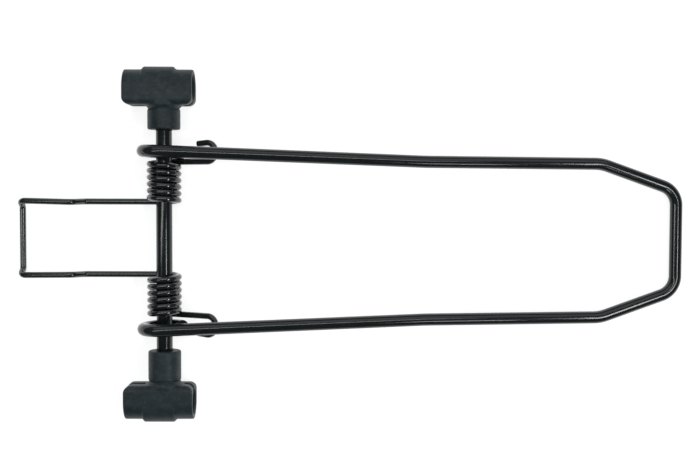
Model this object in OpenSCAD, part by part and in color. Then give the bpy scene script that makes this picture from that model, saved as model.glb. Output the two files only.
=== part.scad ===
// Spring flap for a bicycle rear rack: a wire bail that a double torsion spring holds down.
// Two plastic sleeves clip over the rack's side rails and carry the cross shaft.
// Millimetres. Origin: mid-point of the cross shaft, on its axis.
// +X points to the bail's free end, +Y to the left rail, +Z up as the part lies on a table.

/* [Rack] */
// Diameter of the rack's side rails
rail_d = 10; // [9.6:0.1:10.4]
// Distance between the centre lines of the two rails
rail_spacing = 121.2; // [118:0.2:125]

/* [Rail sleeves] */
// Length of a sleeve along its rail
sleeve_l = 26.6; // [25:0.2:31]
// Wall of a sleeve around the rail
sleeve_wall = 1.9; // [1.8:0.1:2.4]
// Diameter of the stem that holds the shaft
stem_d = 12.6; // [12.2:0.1:13.2]
// Distance from the left rail's centre line to the left stem's end
left_reach = 16.1; // [15:0.1:17]
// Distance from the right rail's centre line to the right stem's end
right_reach = 19.8; // [15:0.1:20]
// How far the grip band stands out on the outer side
band_h = 1.1; // [0.8:0.1:1.8]

/* [Cross shaft] */
// Diameter of the cross shaft
shaft_d = 6.2; // [5.8:0.1:6.2]

/* [Bail] */
// Diameter of the bail's wire
bail_wire = 4.8; // [4.4:0.1:4.8]
// Distance from the shaft to the bail's end strand
bail_reach = 200; // [188:0.5:210]
// Mean radius of the ring eye on each arm
eye_r = 7.7; // [7.7:0.05:8.2]
// Turn of the wire around each eye, in degrees
eye_turn = 246; // [220:1:256]

/* [Spring] */
// Diameter of the spring's wire
spring_wire = 2.4; // [2:0.1:2.4]
// Mean radius of the two coils
coil_r = 5.5; // [5.2:0.05:5.6]
// Distance from the shaft to the hoop's cross strand
hoop_reach = 56.2; // [52:0.2:60]

/* [Hidden] */
$fn = 48;

shaft_end_gap = 0.4;       // between the shaft's end and the bottom of its socket
shaft_chamfer = 0.6;
shaft_clear = 0.06;        // radial, so that the sleeves turn on the shaft
socket_web = 1.25;         // plastic left between the socket and the rail bore
socket_mouth = 0.35;       // chamfer at the socket's mouth

sleeve_r = rail_d / 2 + sleeve_wall;
sleeve_back = 1.8;         // the tube's middle lies this far from the stem's, on the hoop's side
lip_corner = 2.35;         // section corners on the stem side
plan_corner = 2.8;         // plan corners on the stem side
stem_edge = 0.4;
stem_y0 = rail_d / 2 + 0.6;
root_flare = 0.9;          // the stem widens this much where it leaves the tube
root_h = 1;
seam_w = 0.4;              // groove round the stem, above the flare
seam_deep = 0.25;
rail_mouth = 0.45;         // chamfer at the rail bore's mouths
slit_h = 2.6;              // between the upper and the lower lip
slit_x = stem_d / 2 + 1.2; // the slit starts this far from the stem's middle
band_top = 11.8;
band_foot = 13.2;

shaft_half = rail_spacing / 2 - rail_d / 2 - socket_web - shaft_end_gap;

// The bail lies on its end strand and rises along its arms to the eyes.
flap_y = 2.05;             // the bail's middle lies this far toward the left rail
spring_y = flap_y + 0.5;   // and so does the spring's
floor_z = -7.7;
eye_z = 1.85;
eye_y = 33.9;
arm_y = 30.45;             // where the arms straighten
arm_x = 100.7;
neck_y = 30.05;            // where the arms turn in to the end strand
neck_back = 30.1;
end_y = 19.57;
end_z = floor_z + bail_wire / 2;
end_bend = 8;
neck_bend = 15;
arm_bend = 150;

arm_slope = atan2(eye_z - end_z, bail_reach)
    + asin(eye_r / norm([bail_reach, eye_z - end_z]));
arm_x0 = eye_r * sin(arm_slope);
arm_z0 = eye_z + eye_r * cos(arm_slope);
function arm_z(x) = arm_z0 - (x - arm_x0) * tan(arm_slope);

// The spring's legs hook under the arms.
leg_y = 29.7;
hook_r = 3.6;
hook_x = 20.2;
hook_turn = 184;
hook_gap = 0.15;           // between a hook and the arm that rests on it
hook_tail = 4.2;           // straight wire after the hook's turn
hook_z = arm_z(hook_x) - (bail_wire / 2 + hook_gap) / cos(arm_slope) - spring_wire / 2;
leg_slope = atan2(hook_z, hook_x) + asin(coil_r / norm([hook_x, hook_z]));

// The spring's hoop: level strands, a step up, then down to the cross strand.
hoop_y = 14.2;
step_x = -31.5;
step_top_x = -36;
step_top_z = 0.25;
step_bend = 3;
corner_bend = 2.2;
corner_z = -3.4;
cross_z = floor_z + spring_wire / 2;

// Where a straight run meets a bend or the other half, a ball hardly wider than the wire
// joins the two.
knuckle_gap = 0.02;
knuckle_swell = 0.02;

turns = 6;
coil_angle = 360 * turns + leg_slope;
ring_sides = 8;
rings = 24 * turns + 3;

// One sub-part, or all of them

function unit(v) = v / norm(v);
function across(v, axis) = unit(v - (v * axis) * axis);
function angle_between(a, b) = atan2(norm(cross(a, b)), a * b);

// Directions and lengths of a wire's straight runs between its corner points.
function way(p, i) = unit(p[i + 1] - p[i]);
function turn_at(p, i) = angle_between(way(p, i - 1), way(p, i));
function trim_at(p, r, i) =
    i == 0 || i == len(p) - 1 ? 0 : r[i - 1] * tan(turn_at(p, i) / 2);
function run(p, r, i) = norm(p[i + 1] - p[i]) - trim_at(p, r, i) - trim_at(p, r, i + 1);
function roll_from(x, n, d) = atan2(cross(x, n) * d, x * n);

// A quarter or more of a ring: starts along +Z at the origin and bends to +X.
module bend(r, angle, wire) {
    rotate([90, 0, 180]) translate([-r, 0, 0])
        rotate_extrude(angle = angle) translate([r, 0]) circle(d = wire);
}

// Joins a straight run to a bend.
module knuckle(wire) {
    sphere(d = wire + knuckle_swell);
}

module after_bend(r, angle) {
    translate([r, 0, 0]) rotate([0, angle, 0]) translate([-r, 0, 0]) children();
}

// Bends a wire through the corner points p with the radii r, then through one last turn.
// x is the direction that the current frame's +X has in the model.
module wire_run(p, r, wire, last, x, i = 0) {
    d = way(p, i);
    length = run(p, r, i);
    more = i < len(p) - 2;
    n = across(more ? way(p, i + 1) : last[0], d);
    angle = more ? turn_at(p, i + 1) : last[1];
    radius = more ? r[i] : last[2];
    start = i == 0 ? 0 : knuckle_gap;
    if (more || angle > 0) {
        translate([0, 0, start]) cylinder(d = wire, h = length - start - knuckle_gap);
        translate([0, 0, length]) rotate([0, 0, roll_from(x, n, d)]) {
            knuckle(wire);
            bend(radius, angle, wire);
            after_bend(radius, angle) {
                if (more || last[3] > 0)
                    knuckle(wire);
                if (more)
                    wire_run(p, r, wire, last, cos(angle) * n - sin(angle) * d, i + 1);
                else if (last[3] > 0)
                    translate([0, 0, knuckle_gap]) cylinder(d = wire, h = last[3]);
            }
        }
    } else
        translate([0, 0, start]) cylinder(d = wire, h = length - start);
}

// last = [direction to bend towards, angle, radius, straight tail]
module wire(p, r, wire, last = [[0, 0, 1], 0, 1, 0]) {
    d = way(p, 0);
    tilt = acos(d[2]);
    turn = atan2(d[1], d[0]);
    translate(p[0]) rotate([0, tilt, turn])
        wire_run(p, r, wire, last, [cos(tilt) * cos(turn), cos(tilt) * sin(turn), -sin(tilt)]);
}

module cross_shaft() {
    r = shaft_d / 2;
    c = shaft_chamfer;
    color("#2a2d30") rotate([90, 0, 0]) rotate_extrude()
        polygon([[0, -shaft_half], [r - c, -shaft_half], [r, c - shaft_half],
            [r, shaft_half - c], [r - c, shaft_half], [0, shaft_half]]);
}

// The sleeve's body, with the rail along X and the stem's side at -Y.
module sleeve_body() {
    intersection() {
        rotate([90, 0, 90]) translate([0, 0, -sleeve_l / 2]) linear_extrude(sleeve_l) {
            circle(r = sleeve_r);
            translate([lip_corner - sleeve_r, -sleeve_r])
                square([sleeve_r - lip_corner, 2 * sleeve_r]);
            translate([-sleeve_r, lip_corner - sleeve_r])
                square([lip_corner + 1, 2 * (sleeve_r - lip_corner)]);
            for (s = [-1, 1]) translate([lip_corner - sleeve_r, s * (sleeve_r - lip_corner)])
                circle(r = lip_corner);
        }
        translate([0, 0, -sleeve_r - 1]) linear_extrude(2 * sleeve_r + 2) {
            translate([-sleeve_l / 2, plan_corner - sleeve_r])
                square([sleeve_l, 2 * sleeve_r]);
            translate([plan_corner - sleeve_l / 2, -sleeve_r])
                square([sleeve_l - 2 * plan_corner, plan_corner + 1]);
            for (s = [-1, 1])
                translate([s * (sleeve_l / 2 - plan_corner), plan_corner - sleeve_r])
                    circle(r = plan_corner);
        }
    }
}

module grip_band() {
    foot = sleeve_r - band_h;
    translate([0, band_h, 0]) rotate([0, 90, 0]) rotate_extrude()
        polygon([[0, -band_foot / 2], [foot, -band_foot / 2], [sleeve_r, -band_top / 2],
            [sleeve_r, band_top / 2], [foot, band_foot / 2], [0, band_foot / 2]]);
}

module stem(reach) {
    r = stem_d / 2;
    root = sleeve_r + root_h;
    s = r - seam_deep;
    intersection() {
        rotate([90, 0, 0]) rotate_extrude()
            polygon([[0, stem_y0], [r + root_flare, stem_y0], [r + root_flare, sleeve_r],
                [r, root], [s, root], [s, root + seam_w], [r, root + seam_w],
                [r, reach - stem_edge], [r - stem_edge, reach], [0, reach]]);
        translate([-sleeve_l / 2, -reach - 1, -sleeve_r])
            cube([sleeve_l, reach + 1, 2 * sleeve_r]);
    }
}

module rail_bore() {
    r = rail_d / 2;
    m = rail_mouth;
    h = sleeve_l / 2;
    rotate([0, 90, 0]) rotate_extrude()
        polygon([[0, -h - 1], [r + m, -h - 1], [r + m, -h], [r, m - h],
            [r, h - m], [r + m, h], [r + m, h + 1], [0, h + 1]]);
}

module shaft_socket(reach) {
    r = shaft_d / 2 + shaft_clear;
    m = socket_mouth;
    rotate([90, 0, 0]) rotate_extrude()
        polygon([[0, rail_d / 2 + socket_web], [r, rail_d / 2 + socket_web],
            [r, reach - m], [r + m, reach], [r + m, reach + 1], [0, reach + 1]]);
}

module rail_sleeve(reach) {
    color("#3b4348") translate([0, rail_spacing / 2, 0]) difference() {
        union() {
            translate([-sleeve_back, 0, 0]) {
                sleeve_body();
                grip_band();
            }
            stem(reach);
        }
        translate([-sleeve_back, 0, 0]) rail_bore();
        shaft_socket(reach);
        for (s = [0, 1]) mirror([s, 0, 0])
            translate([slit_x, -sleeve_r - 1, -slit_h / 2])
                cube([sleeve_l, sleeve_r + 1, slit_h]);
    }
}

module left_rail_sleeve() { rail_sleeve(left_reach); }

module right_rail_sleeve() { mirror([0, 1, 0]) rail_sleeve(right_reach); }

module bail_half() {
    neck_x = bail_reach - neck_back;
    wire([[bail_reach, knuckle_gap, end_z], [bail_reach, end_y, end_z],
            [neck_x, neck_y, arm_z(neck_x)], [arm_x, arm_y, arm_z(arm_x)],
            [arm_x0, eye_y, arm_z0]],
        [end_bend, neck_bend, arm_bend], bail_wire, [[0, 0, -1], eye_turn, eye_r, 0]);
}

module bail() {
    color("#26292c") translate([0, flap_y, 0]) {
        bail_half();
        mirror([0, 1, 0]) bail_half();
        translate([bail_reach, 0, end_z]) knuckle(bail_wire);
    }
}

module hoop_half() {
    wire([[0, hoop_y, -coil_r], [step_x, hoop_y, -coil_r],
            [step_top_x, hoop_y - 0.15, step_top_z], [-hoop_reach - 0.2, hoop_y + 0.3, corner_z],
            [-hoop_reach, hoop_y - 1.9, cross_z], [-hoop_reach, knuckle_gap, cross_z]],
        [step_bend, step_bend, corner_bend, corner_bend], spring_wire);
}

module spring_hoop() {
    color("#2b2e31") translate([0, spring_y, 0]) {
        hoop_half();
        mirror([0, 1, 0]) hoop_half();
        translate([-hoop_reach, 0, cross_z]) knuckle(spring_wire);
    }
}

// One wire ring of the coil; its plane holds the shaft's axis.
function coil_ring(i) =
    let (t = i / (rings - 1), a = -90 + leg_slope - coil_angle * t,
        y = leg_y + (hoop_y - leg_y) * t)
    [for (k = [0 : ring_sides - 1])
        let (b = 360 * (k + 0.5) / ring_sides, r = coil_r + spring_wire / 2 * cos(b))
        [r * cos(a), y + spring_wire / 2 * sin(b), r * sin(a)]];

module coil() {
    n = ring_sides;
    points = [for (i = [0 : rings - 1]) each coil_ring(i)];
    sides = [for (i = [0 : rings - 2], k = [0 : n - 1])
        [i * n + k, i * n + (k + 1) % n, (i + 1) * n + (k + 1) % n, (i + 1) * n + k]];
    first = [for (k = [n - 1 : -1 : 0]) k];
    final = [for (k = [0 : n - 1]) (rings - 1) * n + k];
    color("#2b2e31") polyhedron(points, concat(sides, [first, final]));
}

module left_coil() { translate([0, spring_y, 0]) coil(); }

module right_coil() { translate([0, spring_y, 0]) mirror([0, 1, 0]) coil(); }

module spring_leg() {
    u = [cos(leg_slope), 0, sin(leg_slope)];
    start = [coil_r * sin(leg_slope), leg_y, -coil_r * cos(leg_slope)];
    length = (hook_x - start[0]) / u[0] - hook_r;
    color("#2b2e31")
        wire([start, start + length * u], [], spring_wire, [[0, 1, 0], hook_turn, hook_r, hook_tail]);
}

module left_spring_leg() { translate([0, spring_y, 0]) spring_leg(); }

module right_spring_leg() { translate([0, spring_y, 0]) mirror([0, 1, 0]) spring_leg(); }

cross_shaft();
left_rail_sleeve();
right_rail_sleeve();
bail();
spring_hoop();
left_coil();
right_coil();
left_spring_leg();
right_spring_leg();
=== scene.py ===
import math

import bmesh
import bpy
from mathutils import Matrix, Vector


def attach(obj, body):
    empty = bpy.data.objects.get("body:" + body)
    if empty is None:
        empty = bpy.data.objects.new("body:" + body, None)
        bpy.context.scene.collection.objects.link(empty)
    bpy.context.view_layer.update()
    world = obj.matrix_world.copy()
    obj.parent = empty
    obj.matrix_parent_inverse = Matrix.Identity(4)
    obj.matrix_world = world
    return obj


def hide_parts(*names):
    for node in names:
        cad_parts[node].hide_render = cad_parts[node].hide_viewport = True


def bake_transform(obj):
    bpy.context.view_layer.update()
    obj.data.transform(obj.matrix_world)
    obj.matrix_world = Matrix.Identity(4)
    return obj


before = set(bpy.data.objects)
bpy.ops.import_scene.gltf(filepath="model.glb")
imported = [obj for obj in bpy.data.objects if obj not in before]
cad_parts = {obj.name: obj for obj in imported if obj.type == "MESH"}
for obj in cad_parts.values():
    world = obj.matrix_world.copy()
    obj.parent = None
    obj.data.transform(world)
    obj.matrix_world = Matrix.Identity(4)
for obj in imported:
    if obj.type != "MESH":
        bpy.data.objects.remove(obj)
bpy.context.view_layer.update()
mm = 0.001
print("frame loaded")


# Shapes are made in millimetres and scaled to metres at the end.
def newPiece(name, bm, body, replaced, keepSharp=35):
    bmesh.ops.scale(bm, vec=(mm, mm, mm), verts=bm.verts[:])
    bm.normal_update()
    for face in bm.faces:
        face.smooth = True
    for edge in bm.edges:
        if len(edge.link_faces) == 2 and edge.calc_face_angle(0) > math.radians(keepSharp):
            edge.smooth = False
    mesh = bpy.data.meshes.new(name)
    bm.to_mesh(mesh)
    bm.free()
    piece = bpy.data.objects.new(name, mesh)
    bpy.context.scene.collection.objects.link(piece)
    if body:
        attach(piece, body)
    if replaced:
        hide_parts(*replaced)
    return piece


# A wire bender: a ring of vertices is fed forward and bent, step by step.
# wireSpace keeps each vertex's place in the straight wire, for the materials.
class wireBender:
    longestStep = 12.0

    def __init__(self, wireD, sides, start, along, ringX):
        self.bm = bmesh.new()
        self.space = self.bm.verts.layers.float_vector.new("wireSpace")
        self.wireR = wireD / 2
        self.length = 0.0
        self.along = Vector(along).normalized()
        self.at = Vector(start)
        x = Vector(ringX)
        x = (x - x.dot(self.along) * self.along).normalized()
        turn = Matrix((x, self.along.cross(x), self.along)).transposed().to_4x4()
        made = bmesh.ops.create_circle(self.bm, segments=sides, radius=self.wireR,
                                       matrix=Matrix.Translation(self.at) @ turn)
        for vert in made["verts"]:
            local = turn.inverted() @ (vert.co - self.at)
            vert[self.space] = (local.x, local.y, 0)
        self.ring = list({e for v in made["verts"] for e in v.link_edges})
        self.firstRing = self.ring[:]

    def stamp(self, verts):
        for vert in verts:
            place = vert[self.space]
            vert[self.space] = (place[0], place[1], self.length)

    def feed(self, length, pieces=1):
        for _ in range(pieces):
            made = bmesh.ops.extrude_edge_only(self.bm, edges=self.ring)
            verts = [g for g in made["geom"] if isinstance(g, bmesh.types.BMVert)]
            bmesh.ops.translate(self.bm, verts=verts, vec=self.along * length / pieces)
            newVerts = set(verts)
            self.ring = [g for g in made["geom"] if isinstance(g, bmesh.types.BMEdge)
                         and g.verts[0] in newVerts and g.verts[1] in newVerts]
            self.length += length / pieces
            self.stamp(verts)
        self.at += self.along * length

    def feedFar(self, length):
        self.feed(length, max(1, int(length / self.longestStep)))

    # Turns by angle around the axis through centre; rise moves along the axis.
    def bend(self, centre, axis, angle, steps, rise=0.0):
        centre, axis = Vector(centre), Vector(axis).normalized()
        radius = (self.at - centre).cross(axis).length
        lift = axis * rise / steps
        for i in range(steps):
            made = bmesh.ops.spin(self.bm, geom=self.ring, cent=centre, axis=axis, dvec=lift,
                                  angle=angle / steps, steps=1, use_merge=False)
            self.ring = [g for g in made["geom_last"] if isinstance(g, bmesh.types.BMEdge)]
            self.length += math.hypot(radius * abs(angle), rise) / steps
            self.stamp({v for e in self.ring for v in e.verts})
            centre = centre + lift
        turn = Matrix.Rotation(angle, 3, axis)
        self.at = centre + turn @ (self.at - (centre - axis * rise))
        self.along = (turn @ self.along).normalized()

    # Follows corner points, each rounded to its radius, from the present place.
    def follow(self, corners, radii, stepAngle=5):
        points = [self.at.copy()] + [Vector(c) for c in corners]
        for i in range(1, len(points)):
            way = (points[i] - self.at).normalized()
            if i < len(points) - 1:
                nextWay = (points[i + 1] - points[i]).normalized()
                angle = way.angle(nextWay)
                trim = radii[i - 1] * math.tan(angle / 2)
                self.feedFar((points[i] - self.at).length - trim)
                axis = way.cross(nextWay).normalized()
                inward = axis.cross(way).normalized()
                self.bend(self.at + inward * radii[i - 1], axis, angle,
                          max(2, math.ceil(math.degrees(angle) / stepAngle)))
            else:
                self.feedFar((points[i] - self.at).length)

    # Closes the present end, with a small round edge if edge is above 0.
    def close(self, ring=None, edge=0.0):
        ring = self.ring if ring is None else ring
        made = bmesh.ops.contextual_create(self.bm, geom=ring)
        if edge > 0:
            face = made["faces"][0]
            rim = list(face.edges)
            bmesh.ops.bevel(self.bm, geom=rim, offset=edge, offset_type="OFFSET", segments=3,
                            profile=0.5, affect="EDGES", material=-1, clamp_overlap=True)

    def finish(self, mirrored, middleY):
        if mirrored:
            bmesh.ops.mirror(self.bm, geom=self.bm.verts[:] + self.bm.edges[:] + self.bm.faces[:],
                             matrix=Matrix.Identity(4), merge_dist=0.0005, axis="Y")
        bmesh.ops.translate(self.bm, verts=self.bm.verts[:], vec=(0, middleY, 0))
        bmesh.ops.recalc_face_normals(self.bm, faces=self.bm.faces[:])
        return self.bm


# Sizes that the bail and the spring share, and where the middle of each lies.
lie = {
    "floor": -7.7, "bailY": 2.05, "springY": 2.55,
    "eyeR": 7.7, "eyeZ": 1.85, "eyeY": 33.9, "eyeTurn": 246,
    "bailD": 4.8, "reach": 200.0,
}
endZ = lie["floor"] + lie["bailD"] / 2
armRise = lie["eyeZ"] - endZ
armSlope = (math.atan2(armRise, lie["reach"])
            + math.asin(lie["eyeR"] / math.hypot(lie["reach"], armRise)))
armX0 = lie["eyeR"] * math.sin(armSlope)
armZ0 = lie["eyeZ"] + lie["eyeR"] * math.cos(armSlope)


def armZ(x):
    return armZ0 - (x - armX0) * math.tan(armSlope)


bail = {
    "sides": 32,
    "endY": 19.57, "neckX": 169.9, "neckY": 30.05, "armX": 100.7, "armY": 30.45,
    "endBend": 8.0, "neckBend": 15.0, "armBend": 150.0,
    "cutEdge": 0.35, "eyeSteps": 62,
}


def makeBail():
    wire = wireBender(lie["bailD"], bail["sides"], (lie["reach"], 0, endZ), (0, 1, 0), (1, 0, 0))
    wire.follow([(lie["reach"], bail["endY"], endZ),
                 (bail["neckX"], bail["neckY"], armZ(bail["neckX"])),
                 (bail["armX"], bail["armY"], armZ(bail["armX"])),
                 (armX0, lie["eyeY"], armZ0)],
                [bail["endBend"], bail["neckBend"], bail["armBend"]])
    down = Vector((0, 0, -1))
    inward = (down - down.dot(wire.along) * wire.along).normalized()
    wire.bend(wire.at + inward * lie["eyeR"], wire.along.cross(inward),
              math.radians(lie["eyeTurn"]), bail["eyeSteps"])
    wire.close(edge=bail["cutEdge"])
    return newPiece("bailWire", wire.finish(True, lie["bailY"]), "flap", ["bail"])


# The double torsion spring: hoop, two coils, two hooked legs.
spring = {
    "wireD": 2.4, "sides": 24, "coilR": 5.5, "turns": 6,
    "hoopY": 14.2, "legY": 29.7,
    "stepX": -31.5, "stepTopX": -36.0, "stepTopZ": 0.25,
    "cornerX": -56.4, "cornerZ": -3.4, "crossX": -56.2,
    "stepBend": 3.0, "cornerBend": 2.2,
    "hookX": 20.2, "hookR": 3.6, "hookTurn": 184, "hookTail": 4.2, "hookGap": 0.15,
    "cutEdge": 0.22, "hookSteps": 34, "stepsPerTurn": 48,
}
hookZ = (armZ(spring["hookX"]) - (lie["bailD"] / 2 + spring["hookGap"]) / math.cos(armSlope)
         - spring["wireD"] / 2)
legSlope = (math.atan2(hookZ, spring["hookX"])
            + math.asin(spring["coilR"] / math.hypot(spring["hookX"], hookZ)))
crossZ = lie["floor"] + spring["wireD"] / 2


def makeHoop():
    y = spring["hoopY"]
    wire = wireBender(spring["wireD"], spring["sides"], (spring["crossX"], 0, crossZ),
                      (0, 1, 0), (1, 0, 0))
    wire.follow([(spring["crossX"], y - 1.9, crossZ),
                 (spring["cornerX"], y + 0.3, spring["cornerZ"]),
                 (spring["stepTopX"], y - 0.15, spring["stepTopZ"]),
                 (spring["stepX"], y, -spring["coilR"]),
                 (0, y, -spring["coilR"])],
                [spring["cornerBend"], spring["cornerBend"], spring["stepBend"],
                 spring["stepBend"]])
    wire.close()
    return newPiece("springHoop", wire.finish(True, lie["springY"]), "spring",
                    ["spring_hoop"])


def makeCoil(side):
    wire = wireBender(spring["wireD"], spring["sides"],
                      (0, side * spring["hoopY"], -spring["coilR"]), (1, 0, 0), (0, 1, 0))
    # From the hoop the wire goes on to +X at the bottom, then up and round to the leg.
    angle = 2 * math.pi * spring["turns"] + legSlope
    steps = round(spring["stepsPerTurn"] * angle / (2 * math.pi))
    wire.bend((0, side * spring["hoopY"], 0), (0, 1, 0), -angle, steps,
              rise=side * (spring["legY"] - spring["hoopY"]))
    wire.close()
    wire.close(ring=wire.firstRing)
    name = "leftCoil" if side > 0 else "rightCoil"
    piece = newPiece(name, wire.finish(False, lie["springY"]), None,
                     ["left_coil" if side > 0 else "right_coil"])
    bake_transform(piece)
    return piece


def makeLeg(side):
    along = Vector((math.cos(legSlope), 0, math.sin(legSlope)))
    start = Vector((spring["coilR"] * math.sin(legSlope), side * spring["legY"],
                    -spring["coilR"] * math.cos(legSlope)))
    wire = wireBender(spring["wireD"], spring["sides"], start, along, (0, 1, 0))
    length = (spring["hookX"] - start.x) / along.x - spring["hookR"]
    wire.feed(length, 3)
    outward = Vector((0, side, 0))
    wire.bend(wire.at + outward * spring["hookR"], wire.along.cross(outward),
              math.radians(spring["hookTurn"]), spring["hookSteps"])
    wire.feed(spring["hookTail"], 2)
    wire.close(edge=spring["cutEdge"])
    wire.close(ring=wire.firstRing)
    name = "leftSpringLeg" if side > 0 else "rightSpringLeg"
    return newPiece(name, wire.finish(False, lie["springY"]), "flap",
                    ["left_spring_leg" if side > 0 else "right_spring_leg"])


springPieces = [makeHoop()] + [make(side) for side in (1, -1) for make in (makeCoil, makeLeg)]
bailPiece = makeBail()
print("wires bent")


shaft = {"d": 6.2, "half": 53.95, "chamfer": 0.6, "sides": 64}


def makeShaft():
    bm = bmesh.new()
    turn = Matrix.Rotation(math.radians(90), 4, "X")
    bmesh.ops.create_cone(bm, cap_ends=True, segments=shaft["sides"], radius1=shaft["d"] / 2,
                          radius2=shaft["d"] / 2, depth=2 * shaft["half"], matrix=turn)
    rims = [e for e in bm.edges if abs(e.verts[0].co.y - e.verts[1].co.y) < 0.01]
    bmesh.ops.bevel(bm, geom=rims, offset=shaft["chamfer"], offset_type="OFFSET", segments=3,
                    profile=0.5, affect="EDGES", material=-1)
    return newPiece("crossShaft", bm, "shaft", ["cross_shaft"])


shaftPiece = makeShaft()
print("shaft turned")


# Rail sleeves: solids joined, bored and slit, then fused and softened as a moulding.
sleeve = {
    "spacing": 121.2, "railD": 10.0, "wall": 1.9, "length": 26.6, "back": 1.8,
    "lipCorner": 2.35, "planCorner": 2.8,
    "tubeEdge": 0.25,
    "bandHeight": 1.1, "bandTop": 11.8, "bandFoot": 13.2, "bandEdge": 0.2,
    "stemD": 12.6, "leftReach": 16.1, "rightReach": 19.8, "stemEdge": 0.45, "stemEdgeMiddle": 0.13,
    "stemStart": 5.6,
    "rootFlare": 0.9, "rootHeight": 1.0, "seamWidth": 0.55, "seamDeep": 0.5,
    "socketR": 3.16, "socketWeb": 1.25, "socketMouth": 0.35,
    "railMouth": 0.45,
    "slitHeight": 2.6, "slitStart": 7.5,
    "around": 96, "socketAround": 64, "voxel": 0.24, "softenings": 3,
}


# Turns a half profile of (x, radius) points round the rail's axis.
def alongX(bm, profile, segments, centreY=0.0):
    verts = [bm.verts.new((x - sleeve["back"], centreY + r, 0)) for x, r in profile]
    edges = [bm.edges.new(pair) for pair in zip(verts, verts[1:])]
    bmesh.ops.spin(bm, geom=verts + edges, cent=(0, centreY, 0), axis=(1, 0, 0),
                   angle=2 * math.pi, steps=segments, use_merge=True)


# Turns a half profile of (distance from the rail's axis, radius) points round the shaft's axis.
def alongStem(bm, profile, segments):
    verts = [bm.verts.new((r, -y, 0)) for y, r in profile]
    edges = [bm.edges.new(pair) for pair in zip(verts, verts[1:])]
    bmesh.ops.spin(bm, geom=verts + edges, cent=(0, 0, 0), axis=(0, 1, 0),
                   angle=2 * math.pi, steps=segments, use_merge=True)


def block(bm, low, high):
    low, high = Vector(low), Vector(high)
    size = high - low
    bmesh.ops.create_cube(bm, size=1, matrix=Matrix.Translation((low + high) / 2)
                          @ Matrix.Diagonal((*size, 1)))


def roundOff(bm, edges, radius, segments):
    bmesh.ops.bevel(bm, geom=edges, offset=radius, offset_type="OFFSET", segments=segments,
                    profile=0.5, affect="EDGES", material=-1)


def rough(name, bm):
    bmesh.ops.remove_doubles(bm, verts=bm.verts[:], dist=0.001)
    bmesh.ops.recalc_face_normals(bm, faces=bm.faces[:])
    mesh = bpy.data.meshes.new(name)
    bm.to_mesh(mesh)
    bm.free()
    solid = bpy.data.objects.new(name, mesh)
    bpy.context.scene.collection.objects.link(solid)
    return solid


# Each entry is a Boolean step and the solid that it takes.
def sleeveSteps(reach):
    s = sleeve
    half, bore = s["length"] / 2, s["railD"] / 2
    r, back = bore + s["wall"], s["back"]
    steps = []

    bm = bmesh.new()
    block(bm, (-half - back, -r, -r), (half - back, 0, r))
    roundOff(bm, [e for e in bm.edges if all(abs(v.co.y + r) < 0.01 for v in e.verts)
                  and abs(e.verts[0].co.x - e.verts[1].co.x) > 1], s["lipCorner"], 8)
    steps.append(("UNION", rough("lips", bm)))

    bm = bmesh.new()
    block(bm, (-half - back, -r, -r - 1), (half - back, r + 1, r + 1))
    roundOff(bm, [e for e in bm.edges if all(abs(v.co.y + r) < 0.01 for v in e.verts)
                  and abs(e.verts[0].co.z - e.verts[1].co.z) > 1], s["planCorner"], 8)
    steps.append(("INTERSECT", rough("plan", bm)))

    bm = bmesh.new()
    foot, top = s["bandFoot"] / 2, s["bandTop"] / 2
    low, edge = r - s["bandHeight"], s["bandEdge"]
    alongX(bm, [(-foot, 0), (-foot, low), (-top, r - edge), (edge - top, r), (top - edge, r),
                (top, r - edge), (foot, low), (foot, 0)], s["around"], centreY=s["bandHeight"])
    steps.append(("UNION", rough("gripBand", bm)))

    bm = bmesh.new()
    stemR, flare, root = s["stemD"] / 2, s["rootFlare"], r + s["rootHeight"]
    seam = stemR - s["seamDeep"]
    edge, middle = s["stemEdge"], s["stemEdgeMiddle"]
    # The flare, the seam under it, then the plain stem with its rounded edge.
    alongStem(bm, [(s["stemStart"], 0), (s["stemStart"], stemR + flare), (r, stemR + flare * 0.8),
                   (r + 0.35, stemR + flare * 0.45), (root - 0.5, stemR + flare * 0.12),
                   (root, stemR), (root, seam), (root + s["seamWidth"], seam),
                   (root + s["seamWidth"], stemR - 0.05), (root + s["seamWidth"] + 0.2, stemR),
                   (reach - edge, stemR), (reach - middle, stemR - middle),
                   (reach, stemR - edge), (reach, 0)], s["around"])
    for side in (1, -1):
        cut = bmesh.ops.bisect_plane(bm, geom=bm.verts[:] + bm.edges[:] + bm.faces[:],
                                     dist=0.0001, plane_co=(0, 0, side * (r - 0.02)),
                                     plane_no=(0, 0, side), clear_outer=True)
        rim = [g for g in cut["geom_cut"] if isinstance(g, bmesh.types.BMEdge)]
        bmesh.ops.holes_fill(bm, edges=rim, sides=0)
    steps.append(("UNION", rough("stem", bm)))

    bm = bmesh.new()
    m = s["railMouth"]
    alongX(bm, [(-half - 1, 0), (-half - 1, bore + m), (-half, bore + m), (m - half, bore),
                (half - m, bore), (half, bore + m), (half + 1, bore + m), (half + 1, 0)],
           s["around"])
    steps.append(("DIFFERENCE", rough("railBore", bm)))

    bm = bmesh.new()
    m, q = s["socketMouth"], s["socketR"]
    bottom = bore + s["socketWeb"]
    alongStem(bm, [(bottom, 0), (bottom, q), (reach - m, q), (reach, q + m),
                   (reach + 1, q + m), (reach + 1, 0)], s["socketAround"])
    steps.append(("DIFFERENCE", rough("shaftSocket", bm)))

    for side in (1, -1):
        bm = bmesh.new()
        near, far = side * s["slitStart"], side * (half + back + 1)
        block(bm, (min(near, far), -r - 1, -s["slitHeight"] / 2),
              (max(near, far), 0, s["slitHeight"] / 2))
        steps.append(("DIFFERENCE", rough("slit", bm)))
    return steps


def bake(solid):
    graph = bpy.context.evaluated_depsgraph_get()
    mesh = bpy.data.meshes.new_from_object(solid.evaluated_get(graph))
    solid.modifiers.clear()
    solid.data = mesh


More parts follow.
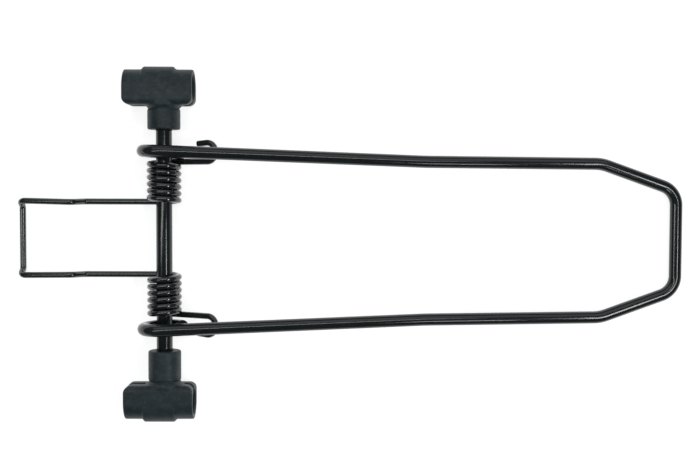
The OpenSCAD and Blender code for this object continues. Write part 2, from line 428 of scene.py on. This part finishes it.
def fuse(solid):
    remesh = solid.modifiers.new("fuse", "REMESH")
    remesh.mode = "VOXEL"
    remesh.voxel_size = sleeve["voxel"]
    bake(solid)


def makeSleeve(side):
    s = sleeve
    half, r, edge = s["length"] / 2, s["railD"] / 2 + s["wall"], s["tubeEdge"]
    bm = bmesh.new()
    alongX(bm, [(-half, 0), (-half, r - edge), (edge - half, r), (half - edge, r),
                (half, r - edge), (half, 0)], s["around"])
    body = rough("tube", bm)
    steps = sleeveSteps(s["leftReach"] if side > 0 else s["rightReach"])
    fused = False
    for kind, solid in steps:
        if kind == "DIFFERENCE" and not fused:
            fuse(body)
            fused = True
        cut = body.modifiers.new(kind, "BOOLEAN")
        cut.operation = kind
        cut.solver = "EXACT"
        cut.object = solid
        bake(body)
    fuse(body)
    bm = bmesh.new()
    bm.from_mesh(body.data)
    for _ in range(s["softenings"]):
        bmesh.ops.smooth_vert(bm, verts=bm.verts[:], factor=0.5, use_axis_x=True,
                              use_axis_y=True, use_axis_z=True)
    bmesh.ops.scale(bm, vec=(1, side, 1), verts=bm.verts[:])
    bmesh.ops.translate(bm, vec=(0, side * s["spacing"] / 2, 0), verts=bm.verts[:])
    bmesh.ops.recalc_face_normals(bm, faces=bm.faces[:])
    for solid in [body] + [solid for _, solid in steps]:
        bpy.data.objects.remove(solid)
    which = "left" if side > 0 else "right"
    return newPiece(which + "Sleeve", bm, which + "_sleeve",
                    [which + "_rail_sleeve"], keepSharp=180)


sleevePieces = [makeSleeve(side) for side in (1, -1)]
print("sleeves moulded", [len(p.data.polygons) for p in sleevePieces])


def addNode(tree, kind, name=None, **settings):
    node = tree.nodes.new(kind)
    if name:
        node.name = node.label = name
    for key, value in settings.items():
        if hasattr(node, key) and key not in node.inputs:
            setattr(node, key, value)
        else:
            node.inputs[key].default_value = value
    return node


def noiseNode(tree, vector, scale, detail=4.0, roughness=0.55, name=None):
    node = addNode(tree, "ShaderNodeTexNoise", name, Scale=scale, Detail=detail, Roughness=roughness)
    tree.links.new(vector, node.inputs["Vector"])
    return node.outputs["Fac"]


def rampNode(tree, value, low, high, toLow=0.0, toHigh=1.0, name=None):
    node = addNode(tree, "ShaderNodeMapRange", name)
    node.inputs["From Min"].default_value = low
    node.inputs["From Max"].default_value = high
    node.inputs["To Min"].default_value = toLow
    node.inputs["To Max"].default_value = toHigh
    tree.links.new(value, node.inputs["Value"])
    return node.outputs["Result"]


def mathNode(tree, kind, a, b):
    node = addNode(tree, "ShaderNodeMath", operation=kind)
    for value, socket in ((a, node.inputs[0]), (b, node.inputs[1])):
        if isinstance(value, (int, float)):
            socket.default_value = value
        else:
            tree.links.new(value, socket)
    return node.outputs[0]


def mixColour(tree, factor, a, b, name=None):
    node = addNode(tree, "ShaderNodeMix", name, data_type="RGBA")
    tree.links.new(factor, node.inputs[0])
    for value, socket in ((a, node.inputs[6]), (b, node.inputs[7])):
        if isinstance(value, tuple):
            socket.default_value = (*value, 1.0)
        else:
            tree.links.new(value, socket)
    return node.outputs[2]


def stretched(tree, vector, scale, name=None):
    node = addNode(tree, "ShaderNodeMapping", name)
    node.inputs["Scale"].default_value = scale
    tree.links.new(vector, node.inputs["Vector"])
    return node.outputs["Vector"]


# Orange peel, drawing lines, hairline scratches and dust of a coated wire.
def makeCoatGroup():
    tree = bpy.data.node_groups.new("wireCoat", "ShaderNodeTree")
    face = tree.interface
    face.new_socket("Vector", in_out="INPUT", socket_type="NodeSocketVector")
    for name, value in (("Peel", 1.0), ("Lines", 1.0), ("Scratches", 1.0), ("Dust", 1.0)):
        socket = face.new_socket(name, in_out="INPUT", socket_type="NodeSocketFloat")
        socket.default_value = value
    for name in ("Height", "Scratch Mask", "Dust Mask", "Cloud"):
        face.new_socket(name, in_out="OUTPUT", socket_type="NodeSocketFloat")
    into = tree.nodes.new("NodeGroupInput")
    out = tree.nodes.new("NodeGroupOutput")
    vector = into.outputs["Vector"]
    peel = noiseNode(tree, vector, 2.6, 3.0, 0.5, "orangePeel")
    lines = noiseNode(tree, stretched(tree, vector, (6.0, 6.0, 0.10)), 1.0, 3.0, 0.6, "drawnLines")
    hair = noiseNode(tree, stretched(tree, vector, (9.0, 9.0, 0.35)), 1.3, 2.0, 0.5, "hairlines")
    scratch = rampNode(tree, hair, 0.70, 0.78, name="scratchEdge")
    patches = rampNode(tree, noiseNode(tree, vector, 0.22, 2.0), 0.48, 0.62)
    scratch = mathNode(tree, "MULTIPLY", mathNode(tree, "MULTIPLY", scratch, patches),
                       into.outputs["Scratches"])
    dust = rampNode(tree, noiseNode(tree, vector, 5.5, 5.0, 0.7, "dustSpecks"), 0.66, 0.76)
    dust = mathNode(tree, "MULTIPLY", dust, into.outputs["Dust"])
    cloud = noiseNode(tree, vector, 0.12, 4.0, 0.6, "cloud")
    height = mathNode(tree, "ADD", mathNode(tree, "MULTIPLY", peel, into.outputs["Peel"]),
                      mathNode(tree, "MULTIPLY", lines, into.outputs["Lines"]))
    height = mathNode(tree, "SUBTRACT", height, mathNode(tree, "MULTIPLY", scratch, 0.6))
    for value, name in ((height, "Height"), (scratch, "Scratch Mask"), (dust, "Dust Mask"),
                        (cloud, "Cloud")):
        tree.links.new(value, out.inputs[name])
    return tree


coatGroup = makeCoatGroup()

coats = {
    "bailCoat": {
        "colour": (0.0066, 0.0096, 0.0104), "bare": (0.075, 0.080, 0.082), "dust": (0.10, 0.10, 0.095),
        "rough": (0.12, 0.17), "peel": 0.7, "lines": 0.4, "scratches": 0.5, "dustAmount": 0.10,
        "bump": 0.0008, "coat": 0.20, "coatRough": 0.10, "specular": 0.46,
    },
    "springCoat": {
        "colour": (0.0066, 0.0094, 0.0102), "bare": (0.085, 0.090, 0.092), "dust": (0.09, 0.09, 0.085),
        "rough": (0.10, 0.15), "peel": 0.4, "lines": 0.7, "scratches": 0.5, "dustAmount": 0.08,
        "bump": 0.0008, "coat": 0.55, "coatRough": 0.06, "specular": 0.60,
    },
    "shaftCoat": {
        "colour": (0.0075, 0.0110, 0.0122), "bare": (0.080, 0.085, 0.088), "dust": (0.10, 0.10, 0.10),
        "rough": (0.12, 0.19), "peel": 0.35, "lines": 1.0, "scratches": 0.6, "dustAmount": 0.10,
        "bump": 0.0007, "coat": 0.25, "coatRough": 0.10, "specular": 0.36,
    },
}


def coatMaterial(name, place):
    look = coats[name]
    material = bpy.data.materials.new(name)
    material.use_nodes = True
    tree = material.node_tree
    shader = tree.nodes["Principled BSDF"]
    if place == "wireSpace":
        vector = addNode(tree, "ShaderNodeAttribute", attribute_name="wireSpace").outputs["Vector"]
    else:
        coords = addNode(tree, "ShaderNodeTexCoord").outputs["Object"]
        vector = stretched(tree, coords, (1000, 1000, 1000), "toMillimetres")
        turned = addNode(tree, "ShaderNodeMapping", "alongTheShaft")
        turned.inputs["Rotation"].default_value = (math.radians(90), 0, 0)
        tree.links.new(vector, turned.inputs["Vector"])
        vector = turned.outputs["Vector"]
    group = addNode(tree, "ShaderNodeGroup", "wireCoat", node_tree=coatGroup)
    tree.links.new(vector, group.inputs["Vector"])
    group.inputs["Peel"].default_value = look["peel"]
    group.inputs["Lines"].default_value = look["lines"]
    group.inputs["Scratches"].default_value = look["scratches"]
    group.inputs["Dust"].default_value = look["dustAmount"]
    shade = tuple(c * 1.5 for c in look["colour"])
    colour = mixColour(tree, rampNode(tree, group.outputs["Cloud"], 0.35, 0.65),
                       look["colour"], shade, "cloudyCoat")
    colour = mixColour(tree, group.outputs["Scratch Mask"], colour, look["bare"], "scratchedCoat")
    colour = mixColour(tree, group.outputs["Dust Mask"], colour, look["dust"], "dustyCoat")
    tree.links.new(colour, shader.inputs["Base Color"])
    low, high = look["rough"]
    rough = rampNode(tree, group.outputs["Cloud"], 0.3, 0.7, low, high)
    rough = mathNode(tree, "ADD", rough, mathNode(tree, "MULTIPLY", group.outputs["Dust Mask"], 0.4))
    rough = mathNode(tree, "ADD", rough,
                     mathNode(tree, "MULTIPLY", group.outputs["Scratch Mask"], 0.15))
    tree.links.new(rough, shader.inputs["Roughness"])
    bump = addNode(tree, "ShaderNodeBump", Strength=0.5)
    bump.inputs["Distance"].default_value = look["bump"] * mm
    tree.links.new(group.outputs["Height"], bump.inputs["Height"])
    tree.links.new(bump.outputs["Normal"], shader.inputs["Normal"])
    shader.inputs["Specular IOR Level"].default_value = look["specular"]
    shader.inputs["Coat Weight"].default_value = look["coat"]
    shader.inputs["Coat Roughness"].default_value = look["coatRough"]
    return material


plastic = {
    "dark": (0.0095, 0.0190, 0.0220), "light": (0.0225, 0.0370, 0.0430),
    "bloom": (0.0420, 0.0640, 0.0740), "speck": (0.090, 0.110, 0.125),
    "rough": (0.42, 0.60), "grain": 0.035, "grainScale": 3.2, "flowScale": 0.16,
}


def plasticMaterial():
    look = plastic
    material = bpy.data.materials.new("sleevePlastic")
    material.use_nodes = True
    tree = material.node_tree
    shader = tree.nodes["Principled BSDF"]
    coords = addNode(tree, "ShaderNodeTexCoord").outputs["Object"]
    vector = stretched(tree, coords, (1000, 1000, 1000), "toMillimetres")
    grain = noiseNode(tree, vector, look["grainScale"], 5.0, 0.62, "mouldedGrain")
    flow = noiseNode(tree, stretched(tree, vector, (0.5, 1.0, 1.0)), look["flowScale"], 5.0, 0.6,
                     "flowMarks")
    bloom = noiseNode(tree, vector, 0.42, 4.0, 0.7, "bloom")
    speck = addNode(tree, "ShaderNodeTexVoronoi", "whiteSpecks", Scale=0.55, Randomness=1.0)
    tree.links.new(vector, speck.inputs["Vector"])
    colour = mixColour(tree, rampNode(tree, flow, 0.35, 0.65), look["dark"], look["light"], "flowTone")
    blooming = mathNode(tree, "MULTIPLY", rampNode(tree, bloom, 0.48, 0.70, 0.0, 0.85),
                        rampNode(tree, grain, 0.40, 0.60, 0.35, 1.0))
    colour = mixColour(tree, blooming, colour, look["bloom"], "paleBloom")
    specks = mathNode(tree, "MULTIPLY", rampNode(tree, speck.outputs["Distance"], 0.09, 0.05),
                      rampNode(tree, bloom, 0.50, 0.60))
    colour = mixColour(tree, specks, colour, look["speck"], "specks")
    tree.links.new(colour, shader.inputs["Base Color"])
    low, high = look["rough"]
    tree.links.new(rampNode(tree, grain, 0.3, 0.7, low, high), shader.inputs["Roughness"])
    height = mathNode(tree, "ADD", grain, mathNode(tree, "MULTIPLY", flow, 1.5))
    bump = addNode(tree, "ShaderNodeBump", Strength=0.6)
    bump.inputs["Distance"].default_value = look["grain"] * mm
    tree.links.new(height, bump.inputs["Height"])
    tree.links.new(bump.outputs["Normal"], shader.inputs["Normal"])
    shader.inputs["Specular IOR Level"].default_value = 0.36
    return material


def paint(pieces, material):
    for piece in pieces:
        piece.data.materials.clear()
        piece.data.materials.append(material)


paint([bailPiece], coatMaterial("bailCoat", "wireSpace"))
paint(springPieces, coatMaterial("springCoat", "wireSpace"))
paint([shaftPiece], coatMaterial("shaftCoat", "object"))
paint(sleevePieces, plasticMaterial())
print("finishes applied")


shot = {
    "at": (65.9, 22.45, 412.0), "aim": (71.7, 4.75, 0.0), "up": (-0.0035, 1.0, 0.0),
    "lens": 54.8, "sensor": 36.0,
}


def setCamera():
    data = bpy.data.cameras.new("camera")
    data.lens, data.sensor_width = shot["lens"], shot["sensor"]
    data.clip_start, data.clip_end = 0.01, 20
    camera = bpy.data.objects.new("camera", data)
    bpy.context.scene.collection.objects.link(camera)
    at, aim = Vector(shot["at"]) * mm, Vector(shot["aim"]) * mm
    back = (at - aim).normalized()
    up = Vector(shot["up"])
    right = up.cross(back).normalized()
    camera.matrix_world = Matrix.Translation(at) @ Matrix(
        (right, back.cross(right), back)).transposed().to_4x4()
    bpy.context.scene.camera = camera


room = {
    "floor": (0.52, 0.52, 0.52), "floorGlow": 0.80, "air": (0.90, 0.95, 1.0),
    "airStrength": 0.10,
    "target": (60.0, 0.0, 0.0),
    "lights": [
        {"name": "topStrip", "at": (-105, 82, 730), "along": (1.0, 0.30, 0.0),
         "size": (0.95, 0.09), "power": 1.5},
        {"name": "eastStrip", "at": (455, -120, 600), "along": (-0.1, 1.0, 0.0),
         "size": (0.26, 0.09), "power": 0.95},
        {"name": "southLamp", "at": (196, -178, 268), "along": (1.0, 0.0, 0.0),
         "size": (0.070, 0.040), "power": 0.085},
        {"name": "northScreen", "at": (60, 750, 660), "along": (1.0, 0.0, 0.0),
         "size": (1.50, 0.75), "power": 2.6},
    ],
}


def setRoom():
    scene = bpy.context.scene
    scene.view_settings.view_transform = "Standard"
    world = bpy.data.worlds.new("room")
    world.use_nodes = True
    back = world.node_tree.nodes["Background"]
    back.inputs["Color"].default_value = (*room["air"], 1.0)
    back.inputs["Strength"].default_value = room["airStrength"]
    scene.world = world

    bm = bmesh.new()
    bmesh.ops.create_grid(bm, x_segments=1, y_segments=1, size=2.5,
                          matrix=Matrix.Translation((0, 0, (lie["floor"] - 0.02) * mm)))
    mesh = bpy.data.meshes.new("floor")
    bm.to_mesh(mesh)
    bm.free()
    floor = bpy.data.objects.new("floor", mesh)
    scene.collection.objects.link(floor)
    white = bpy.data.materials.new("paleFloor")
    white.use_nodes = True
    shader = white.node_tree.nodes["Principled BSDF"]
    shader.inputs["Base Color"].default_value = (*room["floor"], 1.0)
    shader.inputs["Roughness"].default_value = 0.9
    shader.inputs["Specular IOR Level"].default_value = 0.1
    shader.inputs["Emission Color"].default_value = (1, 1, 1, 1)
    shader.inputs["Emission Strength"].default_value = room["floorGlow"]
    mesh.materials.append(white)

    target = Vector(room["target"]) * mm
    for lamp in room["lights"]:
        data = bpy.data.lights.new(lamp["name"], "AREA")
        data.shape = "RECTANGLE"
        data.size, data.size_y = lamp["size"]
        data.energy = lamp["power"]
        light = bpy.data.objects.new(lamp["name"], data)
        scene.collection.objects.link(light)
        at = Vector(lamp["at"]) * mm
        back = (at - target).normalized()
        along = Vector(lamp["along"])
        along = (along - along.dot(back) * back).normalized()
        light.matrix_world = Matrix.Translation(at) @ Matrix(
            (along, back.cross(along), back)).transposed().to_4x4()
        light.visible_camera = False


setCamera()
setRoom()
print("camera, floor and light set")
